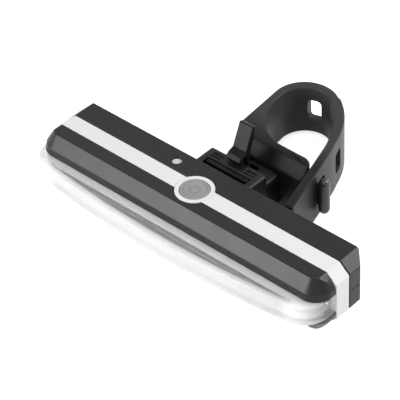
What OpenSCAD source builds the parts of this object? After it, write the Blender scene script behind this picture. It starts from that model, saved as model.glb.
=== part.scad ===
// Rechargeable bar light for the back of a bicycle, on a rubber seat-post strap.
// X runs along the bar, the lens faces -Y, the strap loop is on +Y, Z is up.
// The origin is the middle of the light's flat underside, below the button.

/* [Light body] */
// Length of the bar
bar_l = 80; // [72:1:100]
// Height of the bar
bar_h = 14; // [13.5:0.5:17]
// Width of the white centre band
band_w = 4.1; // [3.8:0.1:5.5]
// Depth of the black rear housing behind the band
rear_d = 5.75; // [5.5:0.05:8]
// Wall of the rear housing
wall = 1.6; // [1.3:0.1:1.8]
// Wall of the centre band
band_wall = 1.8; // [1.6:0.1:2.1]
// Bevel of the bar's ends, measured along the bar
end_cut_x = 2.6; // [1.8:0.1:3.2]
// Bevel of the bar's ends, measured down
end_cut_z = 2.4; // [1.8:0.1:2.6]
// Bevel of the rear housing's upright corners
rear_cut = 2.2; // [0.8:0.1:2.4]
// Depth and width of the dark step beside the band
shadow_step = 0.2; // [0.1:0.05:0.3]

/* [Front bezel and lens] */
// Flat top of the bezel in front of the band
brow_d = 3.3; // [3:0.1:5]
// Forward run of the bezel's slanted facet
facet_run = 1.95; // [1.2:0.05:2.6]
// Drop of the slanted facet
facet_drop = 3.0; // [2:0.1:3.4]
// Forward lean of the bezel's lip below the facet
lip_run = 0.4; // [0.1:0.05:0.7]
// Radius of the bezel's upright corners
bezel_r = 4.6; // [3:0.1:6]
// Height of the clear lens
lens_h = 4.7; // [4.5:0.1:5.2]
// How far the lens bulges out of the bezel
lens_reach = 5.3; // [4:0.1:7]
// Rise of the lens's front arc between its corners
lens_bow = 2.25; // [1.6:0.05:3]
// Radius of the lens's corners
lens_r = 6; // [5:0.1:7]
// Front wall of the lens
lens_wall = 1.3; // [1:0.1:1.6]
// Top and bottom skin of the lens
lens_skin = 0.75; // [0.6:0.05:0.8]
// Gap between the light strip's ends and the end posts
cob_margin = 3; // [2.5:0.5:8]
// Height of the light strip
cob_h = 1.7; // [1.2:0.1:1.8]

/* [Button] */
// Diameter of the button
button_d = 6.6; // [5.6:0.1:7.2]
// White rim round the button
boss_rim = 1.02; // [0.8:0.02:1.3]
// Height of the boss above the band
boss_proud = 0.2; // [0.1:0.05:0.5]
// Travel of the button
press = 0.5; // [0.3:0.05:0.6]
// Depth of the dish in the button
dish = 0.2; // [0.1:0.05:0.4]

/* [Charging socket] */
// Long side of the socket's metal shell
port_l = 7.4; // [6.8:0.1:7.6]
// Short side of the shell
port_t = 2.5; // [2.2:0.1:2.6]
// Depth of the shell
port_d = 5.2; // [4.6:0.1:5.6]
// Length of the rubber cover
cover_l = 8.4; // [8.2:0.1:8.8]
// Width of the rubber cover
cover_w = 3.2; // [3:0.1:3.3]
// Thickness of the rubber cover
cover_t = 1.0; // [0.8:0.1:1.1]
// Distance of the charge lamp from the button, along the bar
lamp_x = 9.5; // [8:0.5:14]
// Diameter of the charge lamp's hole
lamp_d = 2.3; // [1.6:0.1:2.4]

/* [Inside] */
// Thickness of the circuit board
pcb_t = 0.8; // [0.6:0.1:1.2]
// Reach of the circuit board past the button's middle
board_reach = 6.2; // [5.5:0.1:9]
// Height of the battery
battery_h = 9.2; // [7:0.1:9.6]
// Distance of each screw pair from the bar's end
screw_in = 9.5; // [9.3:0.1:11]
// Shank diameter of the housing screws
screw_d = 1.6; // [1.2:0.1:1.7]
// Head diameter of the housing screws
screw_head_d = 3.2; // [2.6:0.1:3.4]

/* [Clip on the light] */
// Width of the clip receiver
receiver_w = 15.8; // [14:0.1:18]
// Depth of the clip receiver
receiver_d = 6.1; // [5.8:0.1:7]
// Top of the receiver, below the top of the bar
receiver_drop = 1; // [0.5:0.1:2]
// Width of the slot in the receiver
slot_w = 12; // [11:0.1:12.6]
// Slot opening, front to back
slot_t = 2.15; // [1.8:0.05:2.4]
// Receiver wall in front of the slot
slot_lip = 1; // [0.8:0.1:1.3]
// Opening for the tongue's neck
neck_gap_w = 8.4; // [7:0.1:8.8]

/* [Bracket] */
// Height of the tongue that the light slides onto
tongue_h = 9.2; // [8:0.1:10]
// Width of the bracket plate
plate_w = 14; // [12:0.1:15.6]
// Depth of the bracket plate
plate_d = 4.85; // [4.7:0.05:6]
// Height of the bracket plate
plate_h = 8.4; // [8:0.1:10]
// Width of the release latch
latch_w = 4; // [3:0.1:4.4]
// Thickness of the latch's arm
latch_t = 1.1; // [0.9:0.05:1.3]
// Height of the thumb tab above its ledge
tab_h = 5.9; // [4:0.1:8]
// Backward lean of the thumb tab
tab_lean = 24; // [15:1:28]
// How far the latch reaches over the receiver
hook_reach = 1.7; // [1:0.1:1.9]

/* [Strap] */
// Width of the rubber strap
strap_w = 13; // [11:0.5:13.5]
// Thickness of the strap
strap_t = 2; // [1.6:0.1:2.4]
// Depth of the rubber saddle block
saddle_d = 4.6; // [4.3:0.1:6]
// Saddle's reach beside the hook
saddle_x = 13.3; // [13:0.1:13.6]
// Radius of the post seat at the saddle
seat_r = 12; // [10:0.5:14]
// Middle radius of the far end of the loop
loop_r = 6.9; // [6.4:0.1:7.4]
// Distance from the saddle to the centre of the far arc
loop_reach = 14; // [13:0.5:18]
// Offset of the far arc's centre
loop_x = -1.6; // [-2.2:0.1:-1]
// Middle radius of the loop's long side
side_r = 31; // [29:0.5:34]
// Extra thickness of the band between its two bends
side_swell = 0.6; // [0:0.05:0.9]
// Extra thickness of the band above the saddle
leg_swell = 0.1; // [0:0.05:0.5]
// Length of the straight tail
tail_l = 20; // [12:0.5:20.2]
// Spacing of the strap holes
hole_pitch = 10.1; // [8:0.1:10.6]
// Number of free holes above the hooked one
free_holes = 3; // [1:1:3]
// Height of a strap hole
hole_h = 5.6; // [4.6:0.1:6.4]
// Length of a free hole along the strap
hole_l = 3.4; // [2.6:0.1:4]
// Height of the hook's head
hook_h = 9.3; // [7:0.1:10.5]

/* [Hidden] */
$fn = 48;

// Clearances
seat_gap = 0.05;   // pieces that sit on each other
slide_gap = 0.15;  // pieces that slide past each other
cut = 1;           // overrun of a cutting shape
blend = 0.01;      // by which curves that meet flush cross each other

// Planes of the light, from the lens to the clip
half_l = bar_l / 2;
mid_z = bar_h / 2;
band_y = band_w / 2;
rear_y = band_y + rear_d;
brow_y = -band_y - brow_d;
facet_y = brow_y - facet_run;
lip_y = facet_y - lip_run;
corner_x = half_l - bezel_r + 0.2;
corner_y = lip_y + bezel_r;
// Side of the bezel: distance from the middle of its round corner, and height
bezel_side = [
    [corner_y - brow_y, 0], [corner_y - facet_y, facet_drop],
    [bezel_r, mid_z - lens_h / 2], [bezel_r, mid_z + lens_h / 2],
    [corner_y - facet_y, bar_h - facet_drop], [corner_y - brow_y, bar_h]
];
lens_front_y = lip_y - lens_reach;
lens_back_y = lip_y + 1.7;
cavity_y = lens_back_y + 1;

// Lens arc: centre and radius from its bow between the two corner centres
lens_half = half_l - lens_r;
lens_arc_r = (lens_half * lens_half + lens_bow * lens_bow) / (2 * lens_bow);
lens_arc_y = lens_front_y + lens_arc_r;
tray_t = 0.4;
lens_corner_y = lens_arc_y - sqrt(pow(lens_arc_r - lens_r, 2) - pow(lens_half, 2));

// Light source stack behind the lens
seal_t = 0.6;
plate_t = 0.7;
board_t = 1;
board_h = 3.9;
seal_y = lens_back_y + seal_t;
reflector_y = seal_y + plate_t;
board_y = reflector_y + board_t;
post_inset = 4.5;
post_t = 2;
post_x = half_l - post_inset;
cob_l = 2 * (post_x - cob_margin);

// Housing screws, in square lugs that stand on the walls
lug_w = 3.8;
screw_z = min(wall, band_wall) + lug_w / 2 - 0.1;
screw_x = half_l - screw_in;
screw_tip = cavity_y + 0.4;
screw_sink = 1.2;

// Board, switch and socket
pcb_y = band_y - 0.35;
pcb_margin = 0.6;
pcb_h = bar_h - 2 * band_wall - 2 * pcb_margin;
pcb_inset = 3;
button_r = button_d / 2;
boss_r = button_r + boss_rim;
boss_low = bar_h - band_wall;
flange_t = 0.8;
flange_top = boss_low - 0.1;
switch_top = boss_low - 2.3;
plunger_rise = 0.7;
plunger_r = 0.8;
stem_low = switch_top + plunger_rise + seat_gap;
port_y = pcb_y + pcb_t + seat_gap;
port_mid_y = port_y + port_t / 2;
port_x = -half_l + wall + 0.2;
cover_mid_y = port_mid_y + 0.2;
hinge_x = -half_l + cover_t / 2;
hinge_z = mid_z - cover_l / 2 + cover_t / 2;
lamp_y = rear_y - wall - 1.4;
battery_x = board_reach + 1;
battery_end = half_l - screw_in - lug_w / 2 - 0.4;
battery_y0 = board_y + 0.4;
battery_y1 = rear_y - wall - 0.8;

// Clip receiver on the light
receiver_back = rear_y + receiver_d;
receiver_low = 1;
receiver_top = bar_h - receiver_drop;
slot_front = rear_y + slot_lip;
slot_back = slot_front + slot_t;
stake_r = 0.9;

// Bracket
tongue_low = receiver_low + 0.2;
tongue_top = tongue_low + tongue_h;
plate_y = receiver_back + 0.2;
plate_back = plate_y + plate_d;
plate_top = tongue_low + plate_h;
pivot_y = receiver_back + 1;
pivot_z = tongue_low + 1.8;
knuckle_r = 1.1;
arm_y = receiver_back + 0.45;
arm_back = arm_y + latch_t;
lane_w = latch_w + 0.8;
foot_z = receiver_top + 0.3;
ledge_z = foot_z + 2.1;
foot_y = receiver_back - hook_reach;
peg_r = 1.3;

// Strap, seen from above
strap_low = mid_z - strap_w / 2;
saddle_y = plate_back + seat_gap;
saddle_back = saddle_y + saddle_d;
half_t = strap_t / 2;
lean = 5.2;        // lean of the loop's left leg
join_a = 50;       // where the far arc meets the long side
leg_a = 16.3;      // direction that the straight leg faces
lobe_r = 3.1;      // round of the saddle's right end
loop_c = [loop_x, saddle_back + loop_reach];
side_c = loop_c + (loop_r - side_r) * dir(join_a);
leg_top = side_c + side_r * dir(leg_a);
leg_dir = [sin(leg_a), -cos(leg_a)];
seat_y = saddle_back + seat_r;
seat_x = loop_x
    + (seat_r - loop_r + half_t + (seat_y - loop_c.y) * sin(lean) * -1) / cos(lean);
side_len = side_r * (join_a - leg_a) * PI / 180;

// Hook that passes through the strap
hook_y = saddle_back - 1.7;
neck_t = 1.8;
neck_h = 4.4;
head_r = 1.3;
anchor_x = saddle_x - 5.9;
anchor_t = 1.6;
anchor_h = neck_h + 2;
head_x = leg_x(hook_y) + half_t / cos(leg_a) + 0.3 + head_r;
hooked_l = 4.6;
hooked_s = (hook_y - neck_t / 2 - slide_gap - half_t * sin(leg_a) - leg_top.y) / cos(leg_a)
    + hooked_l / 2;

function dir(a) = [cos(a), sin(a)];
function arc(c, r, a0, a1, n) = [for (i = [0:n]) c + r * dir(a0 + (a1 - a0) * i / n)];
function leg_x(y) = leg_top.x + (leg_top.y - y) * tan(leg_a);
// Point and facing angle on the strap's middle line, s along it from the top of the leg
function strap_at(s) =
    s < 0 ? [leg_top - s * leg_dir, leg_a]
    : s < side_len ? [side_c + side_r * dir(leg_a + s / side_r * 180 / PI),
                      leg_a + s / side_r * 180 / PI]
    : [loop_c + loop_r * dir(join_a + (s - side_len) / loop_r * 180 / PI),
       join_a + (s - side_len) / loop_r * 180 / PI];

module along_x(x0, x1) {
    translate([x0, 0, 0]) rotate([90, 0, 90]) linear_extrude(x1 - x0) children();
}

module along_y(y0, y1) {
    translate([0, y1, 0]) rotate([90, 0, 0]) linear_extrude(y1 - y0) children();
}

module rod_y(x, z, r, y0, y1) {
    translate([x, y1, z]) rotate([90, 0, 0]) cylinder(r = r, h = y1 - y0);
}

module block(low, high) {
    translate(low) cube(high - low);
}

// Rectangle with round corners, centred
module round_rect(w, h, r) {
    square([w - 2 * r, h], center = true);
    square([w, h - 2 * r], center = true);
    for (sx = [-1, 1], sy = [-1, 1])
        translate([sx * (w / 2 - r), sy * (h / 2 - r)]) circle(r);
}

// Section of the bar seen from its lens: a rectangle with bevelled ends
module end_profile(inset) {
    bevel = norm([end_cut_x, end_cut_z]);
    depth = end_cut_x * end_cut_z / bevel;
    k = (depth - inset * ((end_cut_x + end_cut_z) / bevel - 1)) / depth;
    x = half_l - inset;
    h = mid_z - inset;
    translate([0, mid_z]) polygon([
        [-x, -h + end_cut_z * k], [-x + end_cut_x * k, -h],
        [x - end_cut_x * k, -h], [x, -h + end_cut_z * k],
        [x, h - end_cut_z * k], [x - end_cut_x * k, h],
        [-x + end_cut_x * k, h], [-x, h - end_cut_z * k]
    ]);
}

module at_screws() {
    for (sx = [-1, 1], z = [screw_z, bar_h - screw_z]) translate([sx * screw_x, 0, z]) children();
}

module lug(y0, y1) {
    block([-lug_w / 2, y0, -lug_w / 2], [lug_w / 2, y1, lug_w / 2]);
}

module rear_housing() {
    color("#2b2b2c") difference() {
        union() {
            difference() {
                intersection() {
                    along_y(band_y, rear_y) end_profile(0);
                    linear_extrude(bar_h) polygon([
                        [-half_l, band_y], [half_l, band_y], [half_l, rear_y - rear_cut],
                        [half_l - rear_cut, rear_y], [-half_l + rear_cut, rear_y],
                        [-half_l, rear_y - rear_cut]
                    ]);
                }
                along_y(band_y - cut, rear_y - wall) end_profile(wall);
                along_y(band_y - cut, band_y + shadow_step) difference() {
                    end_profile(-cut);
                    end_profile(shadow_step);
                }
            }
            at_screws() lug(band_y, rear_y - wall + seat_gap);
        }
        at_screws() {
            rod_y(0, 0, screw_d / 2 + 0.15, 0, rear_y + cut);
            rod_y(0, 0, screw_head_d / 2 + 0.15, rear_y - screw_sink, rear_y + cut);
        }
        translate([0, 0, boss_low - cut])
            cylinder(r = boss_r + seat_gap, h = band_wall + boss_proud + 2 * cut);
        translate([-lamp_x, lamp_y, mid_z]) cylinder(d = lamp_d, h = bar_h);
        // Socket window and the recess that the cover closes flush
        block([-half_l - cut, port_mid_y - port_t / 2 - slide_gap, mid_z - port_l / 2 - slide_gap],
              [-half_l + wall + cut, port_mid_y + port_t / 2 + slide_gap,
               mid_z + port_l / 2 + slide_gap]);
        block([-half_l - cut, cover_mid_y - cover_w / 2 - slide_gap, mid_z - cover_l / 2 - slide_gap],
              [-half_l + cover_t + seat_gap, cover_mid_y + cover_w / 2 + slide_gap,
               mid_z + cover_l / 2 + slide_gap]);
        // Parting line at half height
        block([half_l - 0.15, band_y, mid_z - 0.1], [half_l + cut, rear_y + cut, mid_z + 0.1]);
        // Holes for the receiver's stakes
        at_stakes() rod_y(0, 0, stake_r + seat_gap, rear_y - wall - cut, rear_y + cut);
    }
}

module centre_band() {
    color("#f1f1ef") difference() {
        union() {
            along_y(-band_y, band_y) difference() {
                end_profile(0);
                end_profile(band_wall);
            }
            translate([0, 0, boss_low]) cylinder(r = boss_r, h = band_wall + boss_proud, $fn = 96);
            at_screws() lug(-band_y, band_y);
        }
        translate([0, 0, boss_low - cut])
            cylinder(r = button_r + 0.1, h = band_wall + boss_proud + 2 * cut, $fn = 96);
        at_screws() rod_y(0, 0, screw_d / 2 + 0.15, -band_y - cut, band_y + cut);
    }
}

// The bezel's side run along the front, turned round both corners and run back to the band
module bezel_outside() {
    n = len(bezel_side);
    along_x(-corner_x, corner_x) polygon(concat(
        [for (i = [n - 1:-1:0]) [corner_y - bezel_side[i].x, bezel_side[i].y]],
        [[corner_y, 0], [corner_y, bar_h]]));
    along_y(corner_y, -band_y) polygon(concat(
        [for (i = [0:n - 1]) [corner_x + bezel_side[i].x, bezel_side[i].y]],
        [for (i = [n - 1:-1:0]) [-corner_x - bezel_side[i].x, bezel_side[i].y]]));
    for (sx = [-1, 1]) intersection() {
        translate([sx * corner_x, corner_y, 0]) rotate_extrude($fn = 96)
            polygon(concat([[0, 0]], bezel_side, [[0, bar_h]]));
        block([min(sx * corner_x, sx * bar_l), corner_y - 2 * bezel_r, 0],
              [max(sx * corner_x, sx * bar_l), corner_y, bar_h]);
    }
}

module front_bezel() {
    color("#2b2b2c") difference() {
        union() {
            difference() {
                intersection() {
                    along_y(lip_y - cut, -band_y) end_profile(0);
                    bezel_outside();
                }
                // Room for the light source, around the bosses
                difference() {
                    block([-post_x - post_t / 2, cavity_y, wall],
                          [post_x + post_t / 2, -band_y + cut, bar_h - wall]);
                    at_screws() lug(cavity_y - cut, cut);
                }
                // Slot for the lens, open right round the ends
                block([-bar_l, lip_y - cut, mid_z - lens_h / 2],
                      [bar_l, -band_y + cut, mid_z + lens_h / 2]);
            }
            // End posts that the lens wraps round
            for (sx = [-1, 1]) translate([sx * (post_x + post_t / 2), 0, mid_z]) {
                block([-post_t / 2, lens_back_y + seat_gap, -lens_h / 2 - 0.2],
                      [post_t / 2, -band_y, lens_h / 2 + 0.2]);
                block([-post_t / 2, facet_y + 0.1, -lens_h / 2 + lens_skin + 0.2],
                      [post_t / 2, -band_y, lens_h / 2 - lens_skin - 0.2]);
            }
        }
        at_screws() rod_y(0, 0, screw_d / 2 + seat_gap, cavity_y, -band_y + cut);
        translate([0, 0, boss_low - cut])
            cylinder(r = boss_r + seat_gap, h = band_wall + boss_proud + 2 * cut);
    }
}

// Lens outline from above: a long front arc that crosses into two round corners
module lens_plan(inset) {
    a = atan2(lens_corner_y - lens_arc_y, lens_half);
    corner = [lens_half, lens_corner_y];
    out = corner + 2 * lens_r * dir(a);
    intersection() {
        translate([0, lens_arc_y]) circle(lens_arc_r - inset, $fn = 720);
        polygon([corner, out, [-out.x, out.y], [-corner.x, corner.y]]);
    }
    difference() {
        for (sx = [-1, 1])
            translate([sx * lens_half, lens_corner_y]) circle(lens_r - inset + blend, $fn = 96);
        translate([-bar_l, -band_y - seat_gap]) square([2 * bar_l, 2 * lens_r]);
    }
    translate([-half_l + inset, lens_corner_y])
        square([bar_l - 2 * inset, -band_y - seat_gap - lens_corner_y]);
}

module lens() {
    color([0.92, 0.94, 0.95, 0.45]) difference() {
        translate([0, 0, mid_z - lens_h / 2 + seat_gap])
            linear_extrude(lens_h - 2 * seat_gap) lens_plan(0);
        translate([0, 0, mid_z - lens_h / 2 + lens_skin])
            linear_extrude(lens_h - 2 * lens_skin) translate([0, seat_gap]) lens_plan(lens_wall);
        block([-half_l + lens_wall + 0.4, lens_back_y, 0], [half_l - lens_wall - 0.4, 0, bar_h]);
    }
}

module lens_seal() {
    color("#8d8f91") along_y(lens_back_y + seat_gap, seal_y) translate([0, mid_z]) difference() {
        square([2 * post_x - 0.2, lens_h - 0.3], center = true);
        square([2 * post_x - 2.6, lens_h - 2.1], center = true);
    }
}

module reflector() {
    lip_h = lens_h - 2.3;
    lip_l = 2 * post_x - 3;
    color("#f4f4f2") difference() {
        union() {
            along_y(seal_y + seat_gap, reflector_y)
                translate([0, mid_z]) square([2 * post_x - 0.6, board_h], center = true);
            along_y(lip_y - 0.2, reflector_y)
                translate([0, mid_z]) square([lip_l, lip_h], center = true);
            // Shallow tray that runs forward inside the lens
            translate([0, 0, mid_z - lens_h / 2 + lens_skin + 2 * seat_gap])
                linear_extrude(tray_t) intersection() {
                    lens_plan(lens_wall + 0.3);
                    translate([-lip_l / 2, -bar_l]) square([lip_l, bar_l + lip_y]);
                }
        }
        along_y(lip_y - cut, reflector_y + cut)
            translate([0, mid_z]) square([cob_l + 0.2, cob_h + 0.1], center = true);
        // Flared mouth of the trough
        along_x(-cob_l / 2 - 0.1, cob_l / 2 + 0.1) polygon([
            [lip_y - cut, mid_z - lip_h / 2 + 0.2], [seal_y, mid_z - cob_h / 2],
            [seal_y, mid_z + cob_h / 2], [lip_y - cut, mid_z + lip_h / 2 - 0.2]
        ]);
    }
}

module led_board() {
    color("#e9eaea") along_y(reflector_y + seat_gap, board_y)
        translate([0, mid_z]) square([2 * post_x - 0.6, board_h], center = true);
}

module cob_strip() {
    color("#d8d5b8") along_y(seal_y + 0.2, reflector_y)
        translate([0, mid_z]) round_rect(cob_l, cob_h, 0.4);
}

module main_pcb() {
    color("#1d6b3a") along_y(pcb_y, pcb_y + pcb_t) difference() {
        translate([-half_l + pcb_inset, mid_z - pcb_h / 2])
            square([half_l - pcb_inset + board_reach, pcb_h]);
        for (z = [screw_z, bar_h - screw_z])
            translate([-screw_x, z]) square(lug_w + 0.6, center = true);
        translate([-boss_r - 0.4, switch_top + 0.4]) square([2 * boss_r + 0.8, bar_h]);
    }
}

module tact_switch() {
    color("#3a3c40") difference() {
        block([-2.2, pcb_y - 3, switch_top - 3.1], [2.2, pcb_y - seat_gap, switch_top]);
        translate([0, pcb_y - 1.5, switch_top - 1.7]) cylinder(r = plunger_r + seat_gap, h = 2);
    }
}

module switch_plunger() {
    color("#b9bbbe") translate([0, pcb_y - 1.5, switch_top - 0.9])
        cylinder(r = plunger_r, h = plunger_rise + 0.9);
}

module power_button() {
    top = bar_h + boss_proud - seat_gap;
    rim = 0.9;
    color("#a3a5a6") difference() {
        union() {
            translate([0, 0, flange_top]) cylinder(r = button_r, h = top - flange_top, $fn = 96);
            translate([0, 0, flange_top - flange_t]) cylinder(r = button_r + 0.6, h = flange_t);
            translate([0, 0, stem_low]) cylinder(r = 1.2, h = flange_top - stem_low);
        }
        translate([0, 0, top - dish])
            cylinder(r1 = button_r - rim - dish, r2 = button_r - rim, h = dish + 0.001, $fn = 96);
    }
}

module usb_port() {
    shell = 0.3;
    color("#c9ccd0") {
        difference() {
            along_x(port_x, port_x + port_d)
                translate([port_mid_y, mid_z]) round_rect(port_t, port_l, 0.5);
            along_x(port_x - cut, port_x + port_d - 0.4)
                translate([port_mid_y, mid_z]) round_rect(port_t - 2 * shell, port_l - 2 * shell, 0.3);
        }
        block([port_x + 1.3, port_mid_y - 0.3, mid_z - port_l / 2 + 1.3],
              [port_x + port_d - 0.2, port_mid_y + 0.3, mid_z + port_l / 2 - 1.3]);
    }
}

module usb_cover() {
    color("#1f1f20") {
        along_y(cover_mid_y - cover_w / 2, cover_mid_y + cover_w / 2) {
            translate([-half_l, hinge_z]) square([cover_t, mid_z + cover_l / 2 - hinge_z]);
            translate([hinge_x, hinge_z]) circle(cover_t / 2);
        }
        // Plug that fills the socket's mouth
        block([-half_l + cover_t - seat_gap, port_mid_y - 0.6, mid_z - 2.6],
              [port_x + 0.3, port_mid_y + 0.6, mid_z + 2.6]);
    }
}

module charge_led() {
    color("#f2efe4") block([-lamp_x - 0.8, pcb_y + pcb_t + seat_gap, boss_low - 2.9],
                           [-lamp_x + 0.8, lamp_y - 1.5, boss_low - 1.5]);
}

module light_pipe() {
    color([0.9, 0.93, 0.95, 0.6]) {
        block([-lamp_x - 1, lamp_y - 1.45, boss_low - 3], [-lamp_x + 1, lamp_y + 1, boss_low - 1.4]);
        translate([-lamp_x, lamp_y, boss_low - 2]) cylinder(r = lamp_d / 2 - seat_gap, h = 3.3);
    }
}

module battery() {
    color("#9aa0a6") along_x(battery_x, battery_end)
        translate([(battery_y0 + battery_y1) / 2, mid_z])
            round_rect(battery_y1 - battery_y0, battery_h, 1);
}

module battery_pad() {
    color("#4a4a4a") block([battery_x + 2, battery_y1 + seat_gap, mid_z - 3],
                           [battery_end - 2, rear_y - wall - seat_gap, mid_z + 3]);
}

module battery_wires() {
    wire_r = 0.5;
    color("#b3202a") for (z = [mid_z - 2, mid_z + 2])
        translate([board_reach - 3, pcb_y + pcb_t + wire_r, z]) rotate([0, 90, 0])
            cylinder(r = wire_r, h = battery_x - board_reach + 3);
}

module board_link() {
    color("#c8a64b") for (z = [mid_z - 1, mid_z + 1])
        block([-lamp_x - 4.8, board_y, z - 0.3], [-lamp_x - 4.2, pcb_y, z + 0.3]);
}

module housing_screws() {
    color("#8b8d90") at_screws() {
        rod_y(0, 0, screw_d / 2, screw_tip, rear_y - screw_sink + 0.3, $fn = 12);
        rod_y(0, 0, screw_head_d / 2, rear_y - screw_sink + seat_gap, rear_y - 0.3);
    }
}

module at_stakes() {
    for (sx = [-1, 1]) translate([sx * slot_w * 0.37, 0, (receiver_low + receiver_top) / 2]) children();
}

module clip_receiver() {
    h = receiver_top - receiver_low;
    color("#232324") difference() {
        union() {
            along_y(rear_y, receiver_back)
                translate([0, receiver_low + h / 2]) round_rect(receiver_w, h, 1);
            at_stakes() {
                rod_y(0, 0, stake_r, rear_y - wall - 0.3, rear_y + 0.2);
                rod_y(0, 0, stake_r + 0.5, rear_y - wall - 0.7, rear_y - wall - seat_gap);
            }
        }
        block([-slot_w / 2, slot_front, 0], [slot_w / 2, slot_back, bar_h]);
        block([-neck_gap_w / 2, slot_back - cut, 0],
              [neck_gap_w / 2, receiver_back + cut, tongue_top + 0.1]);
        // Relief pockets on top, beside the latch
        for (sx = [-1, 1]) {
            block([sx * 4.6 - 1.3, slot_back + 0.7, receiver_top - 0.6],
                  [sx * 4.6 + 1.3, slot_back + 1.2, bar_h]);
            block([sx * 4.6 - 1.3, slot_back + 1.7, receiver_top - 0.6],
                  [sx * 4.6 + 1.3, slot_back + 2.2, bar_h]);
        }
    }
}

module bracket_body() {
    color("#262627") difference() {
        union() {
            block([-slot_w / 2 + 2 * slide_gap, slot_front + slide_gap, tongue_low],
                  [slot_w / 2 - 2 * slide_gap, slot_back - slide_gap, tongue_top]);
            block([-neck_gap_w / 2 + slide_gap, slot_back - 0.5, tongue_low],
                  [neck_gap_w / 2 - slide_gap, plate_y + 0.2, tongue_top]);
            along_y(plate_y, plate_back)
                translate([0, tongue_low + plate_h / 2]) round_rect(plate_w, plate_h, 1.2);
            // Headed pegs that hold the rubber saddle
            at_pegs() {
                rod_y(0, 0, peg_r, plate_back - 0.2, plate_back + 2.6);
                rod_y(0, 0, peg_r + 0.6, plate_back + 1.8, plate_back + 2.6);
            }
        }
        // Lane for the latch, and the cradle of its root
        block([-lane_w / 2, receiver_back + 0.15, pivot_z], [lane_w / 2, plate_back - 1, bar_h]);
        translate([-lane_w / 2, pivot_y, pivot_z]) rotate([0, 90, 0])
            cylinder(r = knuckle_r + seat_gap, h = lane_w);
    }
}

module at_pegs() {
    for (sx = [-1, 1]) translate([sx * 3.4 - 0.4, 0, mid_z - 1]) children();
}

module release_latch() {
    slope = tan(tab_lean);
    tab_y = arm_y - 0.2;
    color("#303031") along_x(-latch_w / 2, latch_w / 2) {
        polygon([
            [arm_y, pivot_z], [arm_back, pivot_z], [arm_back, ledge_z - 0.2],
            [tab_y + tab_h * slope + latch_t, ledge_z + tab_h - latch_t * slope],
            [tab_y + tab_h * slope, ledge_z + tab_h], [tab_y + 0.15, ledge_z + 0.45],
            [foot_y + 0.6, ledge_z], [foot_y - 0.2, foot_z + 1.1], [foot_y - 0.05, foot_z + 0.35],
            [foot_y + 0.4, foot_z], [arm_y - 0.95, foot_z],
            [arm_y - 0.75, ledge_z - 1], [arm_y, ledge_z - 1]
        ]);
        translate([pivot_y, pivot_z]) circle(knuckle_r);
    }
}

module strap_hook() {
    color("#2e2e2f") {
        block([anchor_x, hook_y - neck_t / 2, mid_z - neck_h / 2],
              [head_x, hook_y + neck_t / 2, mid_z + neck_h / 2]);
        block([anchor_x, hook_y - neck_t / 2, mid_z - anchor_h / 2],
              [anchor_x + anchor_t, hook_y + neck_t / 2, mid_z + anchor_h / 2]);
        translate([head_x, hook_y, mid_z]) for (up = [0, 1]) mirror([0, 0, up]) {
            cylinder(r = head_r, h = hook_h / 2 - head_r);
            translate([0, 0, hook_h / 2 - head_r])
                cylinder(r1 = head_r, r2 = head_r * 0.8, h = head_r * 0.6);
            translate([0, 0, hook_h / 2 - head_r * 0.4])
                cylinder(r1 = head_r * 0.8, r2 = head_r * 0.4, h = head_r * 0.4);
        }
    }
}

// Outer face of the band: it swells between its two bends, and again above the saddle
function swell(a) = a > 90 ? leg_swell * sin(180 * (a - 90) / (90 + lean))
    : abs(a - 40) < 16 ? side_swell * cos(90 * (a - 40) / 16) : 0;
function side_point(a) = side_c + (side_r + half_t + swell(a)) * dir(a);
function loop_point(a) = loop_c + (loop_r + half_t + swell(a)) * dir(a);

// Strap and saddle as one outline: up the tail, round the loop, back along the saddle
module strap_plan() {
    left_foot = loop_c + (loop_r + half_t) * dir(180 + lean)
        + (loop_reach - 1.6) * [sin(lean), -cos(lean)];
    tail_end = leg_top + tail_l * leg_dir;
    polygon(concat(
        [tail_end - half_t * dir(leg_a), tail_end + half_t * dir(leg_a)],
        [for (i = [1:16]) side_point(leg_a + (join_a - leg_a) * i / 16)],
        [for (i = [1:14]) loop_point(join_a + (90 - join_a) * i / 14)],
        [for (i = [1:26]) loop_point(90 + (90 + lean) * i / 26)],
        [left_foot],
        arc([2 - plate_w / 2, saddle_y + 1.5], 1.5, 200, 270, 5),
        arc([saddle_x - 1.2, saddle_y + 1.2], 1.2, 270, 360, 5),
        arc([saddle_x - lobe_r, saddle_back - lobe_r], lobe_r, 0, 90, 8),
        arc([seat_x, seat_y], seat_r, 270, 180 + lean, 20),
        arc(loop_c, loop_r - half_t, 180 + lean, join_a, 28),
        arc(side_c, side_r - half_t, join_a, leg_a, 14)
    ));
}

module strap_hole(s, length) {
    at = strap_at(s);
    translate([at[0].x, at[0].y, mid_z]) rotate([0, 0, at[1]]) along_x(-strap_t, strap_t)
        round_rect(length, hole_h, 0.9);
}

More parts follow.
